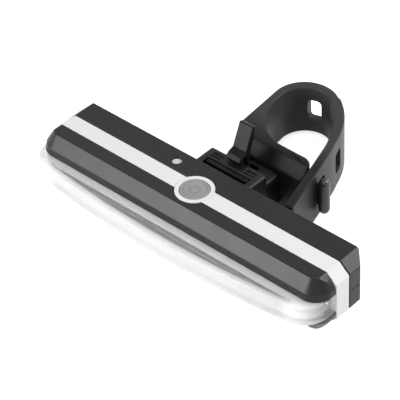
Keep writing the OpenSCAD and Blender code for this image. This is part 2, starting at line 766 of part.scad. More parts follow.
module rubber_strap() {
    color("#1c1c1d") difference() {
        translate([0, 0, strap_low]) linear_extrude(strap_w) strap_plan();
        // Slanted top edge of the saddle's front
        along_x(-half_l, saddle_x + cut) polygon([
            [saddle_y - cut, strap_low + strap_w - 3.6 - cut], [saddle_y + 2.6, strap_low + strap_w + 0.01],
            [saddle_y - cut, strap_low + strap_w + 1]
        ]);
        strap_hole(hooked_s, hooked_l);
        for (i = [1:free_holes]) strap_hole(hooked_s + i * hole_pitch, hole_l);
        // Pockets for the pegs and the hook's anchor
        at_pegs() {
            rod_y(0, 0, peg_r + seat_gap, saddle_y - cut, plate_back + 2.65);
            rod_y(0, 0, peg_r + 0.65, plate_back + 1.75, plate_back + 2.65);
        }
        block([anchor_x - seat_gap, hook_y - neck_t / 2 - seat_gap, mid_z - neck_h / 2 - seat_gap],
              [saddle_x + 0.1, hook_y + neck_t / 2 + seat_gap, mid_z + neck_h / 2 + seat_gap]);
        block([anchor_x - seat_gap, hook_y - neck_t / 2 - seat_gap, mid_z - anchor_h / 2 - seat_gap],
              [anchor_x + anchor_t + seat_gap, hook_y + neck_t / 2 + seat_gap,
               mid_z + anchor_h / 2 + seat_gap]);
    }
}

rear_housing();
centre_band();
front_bezel();
lens();
lens_seal();
reflector();
led_board();
cob_strip();
main_pcb();
tact_switch();
switch_plunger();
usb_port();
charge_led();
light_pipe();
battery();
battery_pad();
battery_wires();
board_link();
housing_screws();
clip_receiver();
power_button();
usb_cover();
bracket_body();
release_latch();
strap_hook();
rubber_strap();
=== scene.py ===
# %% [markdown]
# A bar-shaped bike tail light on its seat-post strap. The solids come from the CAD model and stay
# where they are. This lesson dresses them: it softens their edges, builds the clear lens, the
# rubber strap, the button, the screws and the top of the tongue as finer meshes, and gives each
# surface its own finish.

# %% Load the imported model
import math

import bmesh
import bpy
from mathutils import Matrix, Vector
from mathutils.kdtree import KDTree


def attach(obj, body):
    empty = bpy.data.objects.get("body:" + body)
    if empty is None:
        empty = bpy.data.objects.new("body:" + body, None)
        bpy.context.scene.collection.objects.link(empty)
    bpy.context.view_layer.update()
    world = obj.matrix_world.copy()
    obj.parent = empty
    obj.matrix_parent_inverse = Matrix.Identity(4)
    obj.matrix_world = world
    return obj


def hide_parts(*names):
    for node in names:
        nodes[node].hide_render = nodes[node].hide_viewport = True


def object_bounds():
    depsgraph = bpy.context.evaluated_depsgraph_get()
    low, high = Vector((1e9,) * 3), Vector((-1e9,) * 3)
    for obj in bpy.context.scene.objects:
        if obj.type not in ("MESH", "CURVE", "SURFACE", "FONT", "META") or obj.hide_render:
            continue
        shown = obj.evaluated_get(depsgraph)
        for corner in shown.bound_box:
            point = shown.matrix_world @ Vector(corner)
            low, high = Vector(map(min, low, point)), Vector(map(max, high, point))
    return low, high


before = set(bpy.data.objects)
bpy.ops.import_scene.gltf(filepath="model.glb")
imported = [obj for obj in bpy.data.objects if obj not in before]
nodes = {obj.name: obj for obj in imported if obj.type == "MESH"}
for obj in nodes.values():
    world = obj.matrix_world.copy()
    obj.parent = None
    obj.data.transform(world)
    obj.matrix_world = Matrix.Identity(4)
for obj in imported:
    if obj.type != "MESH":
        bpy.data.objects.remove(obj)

cad_low, cad_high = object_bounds()
print("solids:", len(nodes), "box in mm:", [round(v * 1000, 1) for v in (*cad_low, *cad_high)])

# %% [markdown]
# The camera stands in front of the lens and to the right, looking down at about forty degrees. A
# long lens far away gives the flat perspective of a product picture. Three unit vectors say which
# way the camera looks, which is easier to check than three angles. The offset says how far the
# fitted point lies to the right, up and ahead of the camera.

# %% Place the camera
mm = 0.001
look = Vector((-0.5297, 0.5446, -0.6503)).normalized()
right = Vector((0.7406, 0.6706, -0.0416))
right = (right - right.dot(look) * look).normalized()
up = right.cross(look)
offset = Vector((4.42, 0.7976, 437.0462)) * mm
fitted_point = Vector((0.0, 7.8, 7.0)) * mm
eye = fitted_point - (right * offset.x + up * offset.y + look * offset.z)

focal_pixels, picture_pixels, sensor_width = 2041.55, 400, 36.0
camera_data = bpy.data.cameras.new("picture_camera")
camera_data.sensor_width = sensor_width
camera_data.lens = focal_pixels / picture_pixels * sensor_width
camera_data.clip_start, camera_data.clip_end = 0.02, 5.0
camera = bpy.data.objects.new("picture_camera", camera_data)
camera.matrix_world = Matrix((
    (right.x, up.x, -look.x, eye.x), (right.y, up.y, -look.y, eye.y),
    (right.z, up.z, -look.z, eye.z), (0, 0, 0, 1)))
bpy.context.scene.collection.objects.link(camera)
bpy.context.scene.camera = camera
bpy.context.scene.view_settings.view_transform = "Standard"
print("camera in mm:", [round(v * 1000) for v in eye])

# %% [markdown]
# Short helpers for shader nodes. Each makes a node, fills its inputs with numbers or links, and
# hands back the node or the socket with its result, so a finish reads like a small formula.

# %% Helpers for shader nodes
def put(tree, kind, **settings):
    made = tree.nodes.new(kind)
    for key, value in settings.items():
        setattr(made, key, value)
    return made

def fill(tree, socket, value):
    """Links a socket to an input, or sets the input to a number or a colour."""
    if isinstance(value, bpy.types.NodeSocket):
        tree.links.new(value, socket)
    else:
        socket.default_value = value

def maths(tree, operation, a, b=None, clamp=False):
    """The result of a Math node. Its two values are numbers or sockets."""
    made = put(tree, "ShaderNodeMath", operation=operation, use_clamp=clamp)
    fill(tree, made.inputs[0], a)
    if b is not None:
        fill(tree, made.inputs[1], b)
    return made.outputs[0]

def ramp(tree, value, low, high, to_low=0.0, to_high=1.0):
    """Follows a value from one level to another, with soft ends."""
    made = put(tree, "ShaderNodeMapRange", interpolation_type="SMOOTHSTEP")
    for label, level in (("Value", value), ("From Min", low), ("From Max", high),
                         ("To Min", to_low), ("To Max", to_high)):
        fill(tree, made.inputs[label], level)
    return made.outputs["Result"]

def along(tree, axis):
    """One coordinate of the surface point in the part's own frame, in metres."""
    parts = put(tree, "ShaderNodeSeparateXYZ")
    tree.links.new(put(tree, "ShaderNodeTexCoord").outputs["Object"], parts.inputs[0])
    return parts.outputs[axis]

def blend(tree, factor, first, second):
    """A colour between two others. Each is a colour or a socket."""
    made = put(tree, "ShaderNodeMix", data_type="RGBA")
    for label, value in (("Factor", factor), ("A", first), ("B", second)):
        fill(tree, made.inputs[label], value)
    return made.outputs["Result"]

# %% [markdown]
# A studio floor. It looks white to the camera, to reflections and through clear plastic, and it is
# still lit by the lamps, so the object keeps a faint shadow under it.

# %% Floor and world
floor_reach, floor_gap = 3.0, 0.0002
paper_tone, paper_glow = 0.8, 0.75
room_tone, room_strength = 0.9, 0.22

def shown_to_eye(tree):
    """One where a ray comes from the camera, a reflection or clear plastic, and zero elsewhere."""
    path = put(tree, "ShaderNodeLightPath").outputs
    direct = maths(tree, "MAXIMUM", path["Is Camera Ray"], path["Is Glossy Ray"])
    return maths(tree, "MAXIMUM", direct, path["Is Transmission Ray"])

def background(tree, tone, strength):
    made = put(tree, "ShaderNodeBackground")
    made.inputs["Color"].default_value = (tone, tone, tone, 1)
    made.inputs["Strength"].default_value = strength
    return made.outputs[0]

floor_mesh = bpy.data.meshes.new("studio_floor")
floor_mesh.from_pydata([(x * floor_reach, y * floor_reach, 0)
                        for x, y in ((-1, -1), (1, -1), (1, 1), (-1, 1))], [], [(0, 1, 2, 3)])
floor = bpy.data.objects.new("studio_floor", floor_mesh)
floor.location.z = cad_low.z - floor_gap
bpy.context.scene.collection.objects.link(floor)

paper = bpy.data.materials.new("studio_paper")
paper.use_nodes = True
tree = paper.node_tree
tree.nodes.clear()
matte = put(tree, "ShaderNodeBsdfDiffuse")
matte.inputs["Color"].default_value = (paper_tone, paper_tone, paper_tone, 1)
glow = put(tree, "ShaderNodeEmission")
tree.links.new(maths(tree, "MULTIPLY", shown_to_eye(tree), paper_glow), glow.inputs["Strength"])
both = put(tree, "ShaderNodeAddShader")
tree.links.new(matte.outputs[0], both.inputs[0])
tree.links.new(glow.outputs[0], both.inputs[1])
tree.links.new(both.outputs[0], put(tree, "ShaderNodeOutputMaterial").inputs["Surface"])
floor_mesh.materials.append(paper)

world = bpy.data.worlds.new("studio_room")
bpy.context.scene.world = world
world.use_nodes = True
tree = world.node_tree
tree.nodes.clear()
mix = put(tree, "ShaderNodeMixShader")
tree.links.new(shown_to_eye(tree), mix.inputs[0])
tree.links.new(background(tree, room_tone, room_strength), mix.inputs[1])
tree.links.new(background(tree, 1.0, 1.0), mix.inputs[2])
tree.links.new(mix.outputs[0], put(tree, "ShaderNodeOutputWorld").inputs["Surface"])
print("floor at", round(floor.location.z * 1000, 2), "mm")

# %% [markdown]
# Soft boxes. The slanted front facet of the bar is bright while the flat top is dark, so the main
# lamp stands low in front and to the left. A second one behind and to the right lights the end and
# the strap, and a large one above fills in.

# %% Lamps
lit_point = Vector((0.0, 0.012, 0.008))

def soft_box(name, direction, distance, size, power):
    """A round lamp that shines on the light from a direction. Lengths are in metres."""
    lamp = bpy.data.lights.new(name, "AREA")
    lamp.shape, lamp.size, lamp.energy = "DISK", size, power
    made = bpy.data.objects.new(name, lamp)
    away = Vector(direction).normalized()
    made.location = lit_point + away * distance
    made.rotation_mode = "QUATERNION"
    made.rotation_quaternion = away.to_track_quat("Z", "Y")
    bpy.context.scene.collection.objects.link(made)

soft_box("front_lamp", (-0.43, -0.86, 0.235), 0.5, 0.26, 2.0)
soft_box("back_lamp", (0.6, 0.545, 0.57), 0.6, 0.22, 2.2)
soft_box("top_lamp", (0.25, -0.35, 1.0), 0.7, 0.5, 1.5)

# %% [markdown]
# Node groups hold the effects that several finishes share. Each has named inputs, so a material
# sets its own grain size or strength, and puts out plain values or colours.
#
# Moulded plastic and rubber take the fine spark-eroded grain of their mould. A noise at the size
# of that grain gives the height, and a wider noise makes the sheen differ a little from place to
# place.

# %% Group: mould grain
FLOAT, COLOR, VECTOR = "NodeSocketFloat", "NodeSocketColor", "NodeSocketVector"

def start_group(name, inputs, outputs):
    """A node group with a Vector input and the inputs and outputs that are listed."""
    group = bpy.data.node_groups.new(name, "ShaderNodeTree")
    group.interface.new_socket(name="Vector", in_out="INPUT", socket_type=VECTOR)
    for label, kind, value in inputs:
        socket = group.interface.new_socket(name=label, in_out="INPUT", socket_type=kind)
        socket.default_value = value
    for label, kind in outputs:
        group.interface.new_socket(name=label, in_out="OUTPUT", socket_type=kind)
    return group, put(group, "NodeGroupInput").outputs, put(group, "NodeGroupOutput").inputs

def noise(tree, vector, scale, detail):
    made = put(tree, "ShaderNodeTexNoise")
    for label, value in (("Vector", vector), ("Scale", scale), ("Detail", detail)):
        fill(tree, made.inputs[label], value)
    return made.outputs["Fac"]

def swing_of(tree, value, amount):
    """How far a noise lies from its middle, times an amount."""
    return maths(tree, "MULTIPLY", maths(tree, "SUBTRACT", value, 0.5), amount)

mould_grain, given, made = start_group(
    "mould_grain",
    [("Grain per Metre", FLOAT, 5000.0), ("Roughness", FLOAT, 0.5),
     ("Roughness Spread", FLOAT, 0.08)],
    [("Height", FLOAT), ("Roughness", FLOAT)])
fine = noise(mould_grain, given["Vector"], given["Grain per Metre"], 3.0)
wide = noise(mould_grain, given["Vector"], 140.0, 4.0)
spread = swing_of(mould_grain, wide, given["Roughness Spread"])
mould_grain.links.new(fine, made["Height"])
mould_grain.links.new(maths(mould_grain, "ADD", given["Roughness"], spread, clamp=True),
                      made["Roughness"])
print(mould_grain.name, [i.name for i in mould_grain.interface.items_tree])

# %% [markdown]
# No moulded or coated surface is one even colour. This group makes a colour slightly lighter and
# darker in soft patches.

# %% Group: tone patches
tone_patches, given, made = start_group(
    "tone_patches",
    [("Color", COLOR, (0.5, 0.5, 0.5, 1)), ("Patches per Metre", FLOAT, 120.0),
     ("Amount", FLOAT, 0.1)],
    [("Color", COLOR)])
patch = noise(tone_patches, given["Vector"], given["Patches per Metre"], 5.0)
swing = swing_of(tone_patches, patch, given["Amount"])
level = maths(tone_patches, "ADD", maths(tone_patches, "MULTIPLY", swing, 2.0), 1.0)
scaled = put(tone_patches, "ShaderNodeVectorMath", operation="SCALE")
tone_patches.links.new(given["Color"], scaled.inputs[0])
tone_patches.links.new(level, scaled.inputs["Scale"])
tone_patches.links.new(scaled.outputs[0], made["Color"])
print(tone_patches.name, [i.name for i in tone_patches.interface.items_tree])

# %% [markdown]
# Turned and stamped metal shows fine lines. Noise squeezed along one axis gives them.

# %% Group: tool lines
tool_lines, given, made = start_group(
    "tool_lines",
    [("Lines per Metre", FLOAT, 6000.0), ("Roughness", FLOAT, 0.3), ("Depth", FLOAT, 0.2)],
    [("Height", FLOAT), ("Roughness", FLOAT)])
squeeze = put(tool_lines, "ShaderNodeVectorMath", operation="MULTIPLY")
squeeze.inputs[1].default_value = (0.04, 0.04, 1.0)
tool_lines.links.new(given["Vector"], squeeze.inputs[0])
line = noise(tool_lines, squeeze.outputs[0], given["Lines per Metre"], 2.0)
varied = swing_of(tool_lines, line, given["Depth"])
tool_lines.links.new(line, made["Height"])
tool_lines.links.new(maths(tool_lines, "ADD", given["Roughness"], varied, clamp=True),
                     made["Roughness"])
print(tool_lines.name, [i.name for i in tool_lines.interface.items_tree])

# %% [markdown]
# One function starts a material: it makes the shader, reads the object's own coordinates in metres
# and places the groups. What makes a finish special is added by the cell that needs it.

# %% Helpers: start a finish and put it on
def place_group(tree, group, values=()):
    made = put(tree, "ShaderNodeGroup", node_tree=group)
    tree.links.new(put(tree, "ShaderNodeTexCoord").outputs["Object"], made.inputs["Vector"])
    for label, value in dict(values).items():
        made.inputs[label].default_value = value
    return made.outputs

def finish_of(name, colour, roughness, spread=0.08, grain=5000.0, bump=0.06, depth=0.02,
              patches=120.0, amount=0.12, lines=None, gloss=0.5):
    """A Principled material with patchy colour and a grained or lined surface. Depth is in mm."""
    made = bpy.data.materials.new(name)
    made.use_nodes = True
    tree = made.node_tree
    shader = tree.nodes["Principled BSDF"]
    tone = place_group(tree, tone_patches, {
        "Color": (*colour, 1), "Patches per Metre": patches, "Amount": amount})
    if lines is None:
        surface = place_group(tree, mould_grain, {
            "Grain per Metre": grain, "Roughness Spread": spread, "Roughness": roughness})
    else:
        surface = place_group(tree, tool_lines, {
            "Lines per Metre": lines, "Depth": spread, "Roughness": roughness})
    relief = put(tree, "ShaderNodeBump")
    relief.inputs["Strength"].default_value = bump
    relief.inputs["Distance"].default_value = depth * mm
    tree.links.new(tone["Color"], shader.inputs["Base Color"])
    tree.links.new(surface["Roughness"], shader.inputs["Roughness"])
    tree.links.new(surface["Height"], relief.inputs["Height"])
    tree.links.new(relief.outputs["Normal"], shader.inputs["Normal"])
    shader.inputs["Specular IOR Level"].default_value = gloss
    return made, tree, shader

def base_colour(shader):
    """The socket that feeds a finish's colour so far."""
    return shader.inputs["Base Color"].links[0].from_socket

def coat(piece, material):
    """Gives a piece its one finish."""
    piece.data.materials.clear()
    piece.data.materials.append(material)

# %% [markdown]
# Real moulded edges are never sharp: a radius of a fifth of a millimetre catches the light. The
# triangles' corners are welded first and flat faces joined, and then a bevel rounds every edge
# where the surface turns. The solid itself stays as it is, because modifiers only work on what is
# shown.

# %% Soften the moulded edges
weld_reach, flat_angle, bevel_steps = 0.000002, 0.5, 3

def soften(name, width, angle):
    """Rounds the edges of a CAD node that turn by more than an angle. The width is in mm."""
    body = nodes[name]
    mesh = body.data
    for kind in ("custom_normal", "sharp_edge", "sharp_face"):
        if kind in mesh.attributes:
            mesh.attributes.remove(mesh.attributes[kind])
    body.modifiers.new("weld", "WELD").merge_threshold = weld_reach
    flat = body.modifiers.new("flat", "DECIMATE")
    flat.decimate_type, flat.angle_limit = "DISSOLVE", math.radians(flat_angle)
    bevel = body.modifiers.new("edge", "BEVEL")
    bevel.width, bevel.segments, bevel.limit_method = width * mm, bevel_steps, "ANGLE"
    bevel.angle_limit, bevel.harden_normals = math.radians(angle), True
    bevel.use_clamp_overlap = False
    body.modifiers.new("even", "WEIGHTED_NORMAL").keep_sharp = True
    for polygon in mesh.polygons:
        polygon.use_smooth = True

for name, width, angle in (
        ("rear_housing", 0.15, 30), ("centre_band", 0.18, 30), ("front_bezel", 0.15, 18),
        ("clip_receiver", 0.3, 30), ("bracket_body", 0.2, 30), ("release_latch", 0.3, 30),
        ("usb_cover", 0.2, 30), ("strap_hook", 0.2, 30)):
    soften(name, width, angle)
print("softened:", [n for n in nodes if nodes[n].modifiers])

# %% [markdown]
# Black plastic. The bar's housing and bezel are satin with a fine grain. The clip is rougher, the
# bracket and the latch shine only faintly, and the hook is glossier and painted a little lighter,
# as painted light on its lit side.

# %% Finish the black plastic
def black_plastic(name, tone, roughness, gloss, grain, bump, depth=0.02):
    return finish_of(name, (tone, tone, tone * 1.04), roughness, grain=grain, bump=bump,
                     depth=depth, patches=90.0, amount=0.1, gloss=gloss)[0]

bracket_black = black_plastic("bracket_black", 0.009, 0.38, 0.12, 7000.0, 0.25)
black_finishes = {
    "rear_housing": black_plastic("housing_black", 0.008, 0.38, 0.28, 3000.0, 0.5, 0.04),
    "front_bezel": black_plastic("bezel_black", 0.006, 0.38, 0.32, 3000.0, 0.5, 0.04),
    "clip_receiver": black_plastic("clip_black", 0.003, 0.5, 0.3, 7000.0, 0.2),
    "bracket_body": bracket_black,
    "release_latch": black_plastic("latch_black", 0.01, 0.26, 0.09, 7000.0, 0.2),
    # The hook's lighter tone is painted light: it stands in for the light on its rounded side.
    "strap_hook": black_plastic("hook_black", 0.035, 0.3, 0.45, 7000.0, 0.2)}
for node, finish in black_finishes.items():
    coat(nodes[node], finish)
print("black plastic on", len(black_finishes), "nodes")

# %% [markdown]
# White band, light reflector and light board. The band is satin moulded plastic, the same clean
# white all round. The reflector is white, with painted shade and light where it shows through the
# clear skin: a pale edge, a funnel with a painted dark edge, a painted light line and painted
# shade, and a tray painted grey as shade, lighter towards the front. Places are in metres, and Y
# grows towards the back.

# %% Finish the white pieces
band_white = finish_of("band_white", (0.85, 0.85, 0.845), 0.45, spread=0.05, grain=4000.0,
                       bump=0.05, patches=60.0, amount=0.02, gloss=0.1)[0]
board_white = finish_of("board_white", (0.8, 0.81, 0.81), 0.4, grain=3000.0, bump=0.1,
                        patches=300.0, amount=0.05)[0]
reflector_white, tree, shader = finish_of(
    "reflector_white", (0.9, 0.9, 0.89), 0.25, spread=0.05, grain=3000.0, bump=0.05, patches=80.0,
    amount=0.02)
# Painted shade and light: the tray's grey and the funnel's dark and light bands stand in for the
# shade under the bezel's lip.
lip, sharp_step, soft_step = -0.0077, 0.0001, 0.0002
tray_back, tray_front = lip - soft_step, lip - 0.0026
tray_shade_tone, tray_lit_tone = 0.36, 0.72
funnel_back, funnel_middle, funnel_front, funnel_top = -0.0060, -0.0067, -0.0074, 0.0079
funnel_shade_edge, funnel_painted_highlight, funnel_painted_shade = 0.65, 0.85, -0.3
depth = along(tree, "Y")
tray_painted_shade = ramp(tree, depth, tray_back, tray_front, tray_shade_tone, tray_lit_tone)
in_tray = ramp(tree, depth, tray_back, tray_back - sharp_step)
funnel_painted_light = maths(
    tree, "ADD", ramp(tree, depth, funnel_back, funnel_middle, funnel_shade_edge, funnel_painted_highlight),
    ramp(tree, depth, funnel_middle, funnel_front, 0.0, funnel_painted_shade))
in_funnel = ramp(tree, along(tree, "Z"), funnel_top, funnel_top - soft_step)
shown = blend(tree, in_funnel, base_colour(shader), funnel_painted_light)
tree.links.new(blend(tree, in_tray, shown, tray_painted_shade), shader.inputs["Base Color"])
for node, finish in (("centre_band", band_white), ("reflector", reflector_white),
                     ("led_board", board_white)):
    coat(nodes[node], finish)
print("white pieces:", band_white.name, reflector_white.name, board_white.name)

# %% [markdown]
# The button is soft grey with the usual power mark: an open circle with a stroke. The mark is drawn
# from distances to the button's centre, so it needs no picture.

# %% Group: power mark
power_mark, given, made = start_group(
    "power_mark", [("Radius", FLOAT, 0.0011), ("Line", FLOAT, 0.00014)], [("Mask", FLOAT)])
gap_half, stroke_low, stroke_high = 0.00045, 0.0003, 0.0014

def mark_maths(operation, a, b=None):
    return maths(power_mark, operation, a, b)

parts = put(power_mark, "ShaderNodeSeparateXYZ")
power_mark.links.new(given["Vector"], parts.inputs[0])
x, y = parts.outputs["X"], parts.outputs["Y"]
distance = mark_maths("SQRT", mark_maths("ADD", mark_maths("MULTIPLY", x, x),
                                         mark_maths("MULTIPLY", y, y)))
off_ring = mark_maths("ABSOLUTE", mark_maths("SUBTRACT", distance, given["Radius"]))
on_ring = mark_maths("LESS_THAN", off_ring, given["Line"])
aside = mark_maths("ABSOLUTE", x)
gap = mark_maths("MULTIPLY", mark_maths("LESS_THAN", aside, gap_half),
                 mark_maths("GREATER_THAN", y, 0.0))
ring = mark_maths("MULTIPLY", on_ring, mark_maths("SUBTRACT", 1.0, gap))
stroke = mark_maths("MULTIPLY", mark_maths("LESS_THAN", aside, given["Line"]),
                    mark_maths("MULTIPLY", mark_maths("GREATER_THAN", y, stroke_low),
                               mark_maths("LESS_THAN", y, stroke_high)))
power_mark.links.new(mark_maths("MAXIMUM", ring, stroke), made["Mask"])

# %% Finish the button
mark_strength, mark_grey = 0.6, (0.16, 0.16, 0.165, 1)
button_grey, tree, shader = finish_of("button_grey", (0.30, 0.305, 0.31), 0.45, grain=6000.0,
                                      bump=0.15, patches=200.0, amount=0.05, gloss=0.4)
faded = maths(tree, "MULTIPLY", place_group(tree, power_mark)["Mask"], mark_strength)
tree.links.new(blend(tree, faded, base_colour(shader), mark_grey), shader.inputs["Base Color"])
print("button:", button_grey.name)

# %% [markdown]
# The pieces inside and the small metal ones. They show through the lens, in a gap, or when the
# cover is open, so each gets the finish that it has on a real light.

# %% Finish the inner pieces
def metal(name, colour, roughness, lines):
    made, tree, shader = finish_of(name, colour, roughness, spread=0.25, bump=0.2, lines=lines,
                                   patches=400.0, amount=0.1)
    shader.inputs["Metallic"].default_value = 1.0
    return made

screw_steel = metal("screw_steel", (0.32, 0.32, 0.33), 0.34, 9000.0)
coat(nodes["usb_port"], metal("socket_steel", (0.62, 0.63, 0.65), 0.25, 7000.0))
coat(nodes["board_link"], metal("pin_brass", (0.7, 0.52, 0.24), 0.3, 9000.0))
for node, colour, roughness, grain, amount in (
        ("lens_seal", (0.30, 0.31, 0.32), 0.6, 4000.0, 0.1),
        ("cob_strip", (0.66, 0.65, 0.62), 0.35, 2500.0, 0.12),
        ("main_pcb", (0.02, 0.16, 0.07), 0.35, 3000.0, 0.15),
        ("tact_switch", (0.03, 0.03, 0.033), 0.4, 6000.0, 0.1),
        ("switch_plunger", (0.4, 0.41, 0.42), 0.4, 6000.0, 0.1),
        ("charge_led", (0.85, 0.82, 0.68), 0.3, 5000.0, 0.08),
        ("battery", (0.33, 0.36, 0.4), 0.3, 900.0, 0.1),
        ("battery_pad", (0.05, 0.05, 0.05), 0.9, 1500.0, 0.2),
        ("battery_wires", (0.45, 0.02, 0.02), 0.4, 5000.0, 0.1),
        ("usb_cover", (0.02, 0.02, 0.021), 0.6, 6000.0, 0.1)):
    coat(nodes[node], finish_of(node + "_finish", colour, roughness, grain=grain, bump=0.15,
                                amount=amount)[0])
print("inner pieces finished")

# %% [markdown]
# The lens wraps round the front of the bar. Seen from above, its outline is a long shallow arc
# between two round corners, and short straight sides run back to the white band. These sizes in mm
# serve its finish and its shape.

# %% Sizes of the lens
bar_half, lens_height, middle_z = 40.0, 4.7, 7.0
arc_front, corner_radius, arc_rise, back_edge = -13.0, 6.0, 2.25, -2.1
front_wall, flat_skin = 1.3, 0.75
corner_x = bar_half - corner_radius
arc_radius = (corner_x ** 2 + arc_rise ** 2) / (2 * arc_rise)
arc_centre = arc_front + arc_radius
corner_y = arc_centre - math.sqrt((arc_radius - corner_radius) ** 2 - corner_x ** 2)
turn = math.atan2(arc_centre - corner_y, corner_x)
print("lens arc radius", round(arc_radius), "mm")

# %% [markdown]
# Clear plastic. Light passes straight through the thin flat skins, so the lens is mostly
# see-through there. The front wall and the round ends pass light along inside them and look milky
# white, so they are less see-through. The ends also get a faint painted glow, an emission that
# stands in for the light they carry. A narrow frosted strip runs along the bezel's lip. Places are
# in metres.

# %% Finish the clear pieces
def clear(name, roughness, tint, milky):
    made, tree, shader = finish_of(name, tint, roughness, spread=0.03, grain=1500.0, bump=0.02,
                                   patches=30.0, amount=0.01)
    shader.inputs["Transmission Weight"].default_value = 1.0 - milky
    shader.inputs["IOR"].default_value = 1.2
    return made, tree, shader

lens_clear, tree, shader = clear("lens_clear", 0.03, (0.97, 0.975, 0.975), 0.6)
wall_alpha, skin_alpha, frost_alpha = 0.75, 0.06, 0.95
wall_top, frosted_edge = 0.0083, lip - 0.0012
end_start, end_stop, end_front, end_back = 0.0315, 0.0355, -0.0095, -0.0045
end_alpha_front, end_alpha_back = 0.85, 0.35
painted_glow_front, painted_glow_back, painted_glow_strength = 1.0, 0.3, 0.1
across, ahead = along(tree, "X"), along(tree, "Y")
from_centre = maths(tree, "SUBTRACT", ahead, arc_centre * mm)
reach_out = maths(tree, "SQRT", maths(tree, "ADD", maths(tree, "MULTIPLY", across, across),
                                      maths(tree, "MULTIPLY", from_centre, from_centre)))
wall_inside = (arc_radius - front_wall) * mm
behind_wall = ramp(tree, reach_out, wall_inside, wall_inside - sharp_step)
before_frost = ramp(tree, ahead, frosted_edge, frosted_edge - sharp_step)
in_skin = maths(tree, "MULTIPLY", ramp(tree, along(tree, "Z"), wall_top, wall_top + soft_step),
                maths(tree, "MULTIPLY", behind_wall, before_frost))
frost = ramp(tree, ahead, frosted_edge - sharp_step, frosted_edge, wall_alpha, frost_alpha)
middle_alpha = maths(tree, "SUBTRACT", frost,
                     maths(tree, "MULTIPLY", in_skin, wall_alpha - skin_alpha))
at_end = ramp(tree, maths(tree, "ABSOLUTE", across), end_start, end_stop)
end_alpha = ramp(tree, ahead, end_front, end_back, end_alpha_front, end_alpha_back)
end_change = maths(tree, "MULTIPLY", at_end, maths(tree, "SUBTRACT", end_alpha, middle_alpha))
tree.links.new(maths(tree, "ADD", middle_alpha, end_change), shader.inputs["Alpha"])
# Painted glow: the round ends emit a little light, which stands in for the light that they carry.
painted_end_glow = maths(tree, "MULTIPLY", at_end,
                 ramp(tree, ahead, end_front, end_back, painted_glow_front, painted_glow_back))
tree.links.new(painted_end_glow, shader.inputs["Emission Color"])
shader.inputs["Emission Strength"].default_value = painted_glow_strength
pipe_clear = clear("pipe_clear", 0.2, (0.9, 0.91, 0.92), 0.85)[0]
coat(nodes["light_pipe"], pipe_clear)
print("clear:", lens_clear.name, pipe_clear.name)

# %% [markdown]
# Helpers that build closed solids from outlines in mm, cut them and round their edges. Flat faces
# stay flat under the smooth shading.

# %% Helpers: solids from outlines
def new_piece(name, shape):
    """Makes an object of a finished shape."""
    bmesh.ops.recalc_face_normals(shape, faces=shape.faces)
    mesh = bpy.data.meshes.new(name)
    shape.to_mesh(mesh)
    shape.free()
    made = bpy.data.objects.new(name, mesh)
    bpy.context.scene.collection.objects.link(made)
    return made

def prism(name, points, low, high):
    """A closed solid from a plan outline, between two heights."""
    shape = bmesh.new()
    face = shape.faces.new([shape.verts.new((x * mm, y * mm, low * mm)) for x, y in points])
    lifted = bmesh.ops.extrude_face_region(shape, geom=[face])["geom"]
    bmesh.ops.translate(shape, verts=[v for v in lifted if isinstance(v, bmesh.types.BMVert)],
                        vec=(0, 0, (high - low) * mm))
    return new_piece(name, shape)

def block(name, left, front, right, back, low, high):
    return prism(name, [(left, front), (right, front), (right, back), (left, back)], low, high)

def apply_modifiers(piece):
    graph = bpy.context.evaluated_depsgraph_get()
    mesh = bpy.data.meshes.new_from_object(piece.evaluated_get(graph))
    piece.modifiers.clear()
    old, piece.data = piece.data, mesh
    bpy.data.meshes.remove(old)

def carve(piece, cutters):
    """Cuts the cutters out of a piece and removes them."""
    for cutter in cutters:
        step = piece.modifiers.new("cut", "BOOLEAN")
        step.operation, step.solver, step.object = "DIFFERENCE", "EXACT", cutter
    apply_modifiers(piece)
    for cutter in cutters:
        bpy.data.objects.remove(cutter)

def smooth_faces(piece):
    """Smooth shading that keeps large flat faces flat."""
    for polygon in piece.data.polygons:
        polygon.use_smooth = True
    piece.data.set_sharp_from_angle(angle=math.radians(40))
    piece.modifiers.new("even", "WEIGHTED_NORMAL").keep_sharp = True

def round_rims(piece, points, widths, segments):
    """Rounds the sharp edges of a prism. Each point of its outline has its own width in mm."""
    most = max(widths)
    shape = bmesh.new()
    shape.from_mesh(piece.data)
    weight = shape.edges.layers.float.get("bevel_weight_edge") \
        or shape.edges.layers.float.new("bevel_weight_edge")
    plan = KDTree(len(points))
    for i, (x, y) in enumerate(points):
        plan.insert((x * mm, y * mm, 0), i)
    plan.balance()
    for edge in shape.edges:
        if edge.calc_face_angle(0) > math.radians(30):
            near = [widths[plan.find((v.co.x, v.co.y, 0))[1]] for v in edge.verts]
            edge[weight] = min(near) / most
    shape.to_mesh(piece.data)
    shape.free()
    step = piece.modifiers.new("round", "BEVEL")
    step.width, step.segments, step.limit_method = most * mm, segments, "WEIGHT"
    step.use_clamp_overlap = False
    apply_modifiers(piece)
    smooth_faces(piece)

def round_edges(piece, width, segments, clamp=False):
    """Rounds every edge that turns by more than sixty degrees. The width is in mm."""
    step = piece.modifiers.new("round", "BEVEL")
    step.width, step.segments, step.limit_method = width * mm, segments, "ANGLE"
    step.angle_limit, step.use_clamp_overlap = math.radians(60), clamp
    apply_modifiers(piece)
    smooth_faces(piece)

# %% [markdown]
# The lens's outline has many more points here than in the CAD solid, so that reflections glide
# along it. It is raised to its height with rounded rims. A pocket is cut out of it from behind,
# which leaves a front wall and thin top and bottom skins, as a moulded lens has.

